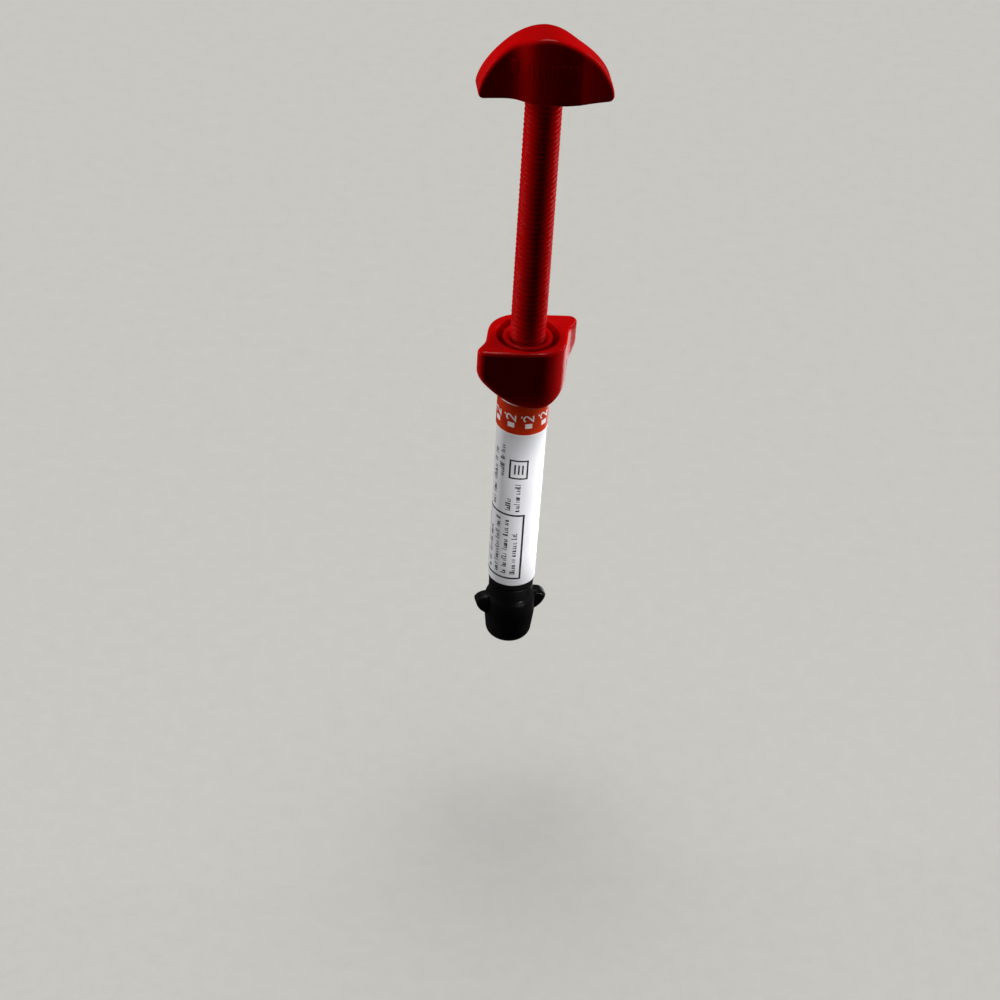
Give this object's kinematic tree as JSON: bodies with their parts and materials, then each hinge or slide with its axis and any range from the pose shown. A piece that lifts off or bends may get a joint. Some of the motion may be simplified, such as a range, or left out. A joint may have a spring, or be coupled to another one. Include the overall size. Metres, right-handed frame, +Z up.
{
  "type": "dental composite syringe",
  "caption": "Screw-plunger syringe for restorative paste: half-moon thumb knob on a threaded rod, winged finger collar, labelled dark barrel and push-on nozzle cap.",
  "frame": {"origin": "on the barrel's axis, at the lowest point of the finger collar's underside, where a rack or hand holds the syringe", "axes": "+Z up the barrel towards the thumb knob, X along the knob and the finger wings, -Y the collar's front flat"},
  "size_m": [0.0248, 0.015, 0.1394],
  "materials": {
    "red_plastic": "polished deep red",
    "black_plastic": "satin black",
    "label_paper": "satin printed film",
    "band_paper": "satin printed film",
    "piston_plastic": "smooth white",
    "paste": "smooth paste"
  },
  "bodies": {
    "barrel": {"barrel": "black_plastic", "finger_collar": "red_plastic", "thread_nut": "red_plastic", "barrel_label": "label_paper", "shade_band": "band_paper", "composite_paste": "paste"},
    "piston": {"piston": "piston_plastic"},
    "plunger": {"plunger_screw": "red_plastic", "thumb_knob": "red_plastic"},
    "cap": {"nozzle_cap": "black_plastic"}
  },
  "joints": [
    {"name": "piston_advance", "type": "slide", "parent": "barrel", "child": "piston", "axis": [0, 0, -1], "range_m": [0, 0.0428], "deforming": ["composite_paste"]},
    {"name": "plunger_turn", "type": "hinge", "parent": "piston", "child": "plunger", "pos_m": [0, 0, 0.066], "axis": [0, 0, -1], "range_deg": [0, 14400]},
    {"name": "cap_pull", "type": "slide", "parent": "barrel", "child": "cap", "axis": [0, 0, -1], "range_m": [0, 0.018]}
  ],
  "couplings": [
    {"joint": "plunger_turn", "follows": "piston_advance", "rad_per_m": 5872.1}
  ]
}
